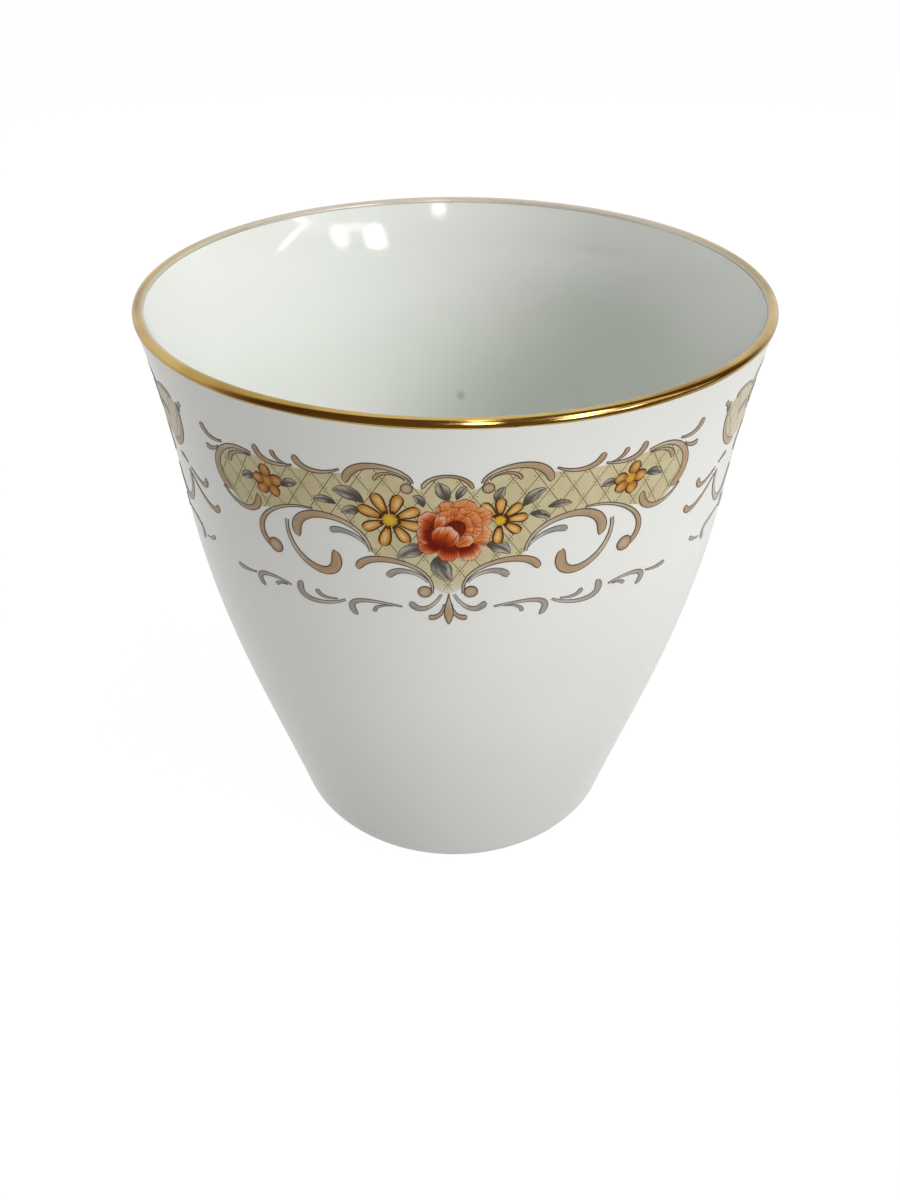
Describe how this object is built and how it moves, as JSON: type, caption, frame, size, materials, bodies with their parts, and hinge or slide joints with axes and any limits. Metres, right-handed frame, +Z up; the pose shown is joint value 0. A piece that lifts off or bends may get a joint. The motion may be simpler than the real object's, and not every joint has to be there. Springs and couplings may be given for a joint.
{
  "type": "teacup",
  "caption": "Tapered porcelain teacup without a handle, with a flared gilt lip, clear white glaze, a low foot ring and a band of scroll and flower enamel panels.",
  "frame": {"origin": "middle of the foot ring, on the surface that the cup stands on", "axes": "+Z up along the cup's axis, -Y towards the front panel"},
  "size_m": [0.0782, 0.0782, 0.0841],
  "materials": {
    "biscuit": "matt unglazed porcelain",
    "glaze": "clear glossy glaze",
    "gilding": "bright burnished gold",
    "cream_enamel": "fired enamel, low gloss",
    "taupe_enamel": "fired enamel, low gloss",
    "garland_enamel": "fired enamel, low gloss",
    "rose_enamel": "fired enamel, low gloss",
    "ochre_enamel": "fired enamel, low gloss",
    "blossom_enamel": "fired enamel, low gloss",
    "grey_enamel": "fired enamel, low gloss"
  },
  "bodies": {
    "root": {"porcelain_body": "biscuit", "inner_glaze": "glaze", "outer_glaze": "glaze", "base_glaze": "glaze", "gilt_rim": "gilding", "front_trellis": "cream_enamel", "front_scrolls": "taupe_enamel", "front_rose": "rose_enamel", "front_daisies": "ochre_enamel", "front_blossoms": "blossom_enamel", "front_leaves": "grey_enamel", "front_garland": "garland_enamel", "back_trellis": "cream_enamel", "back_scrolls": "taupe_enamel", "back_rose": "rose_enamel", "back_daisies": "ochre_enamel", "back_blossoms": "blossom_enamel", "back_leaves": "grey_enamel", "back_garland": "garland_enamel", "left_trellis": "cream_enamel", "left_scrolls": "taupe_enamel", "left_flowers": "ochre_enamel", "left_leaves": "grey_enamel", "left_garland": "garland_enamel", "right_trellis": "cream_enamel", "right_scrolls": "taupe_enamel", "right_flowers": "ochre_enamel", "right_leaves": "grey_enamel", "right_garland": "garland_enamel"}
  },
  "joints": []
}
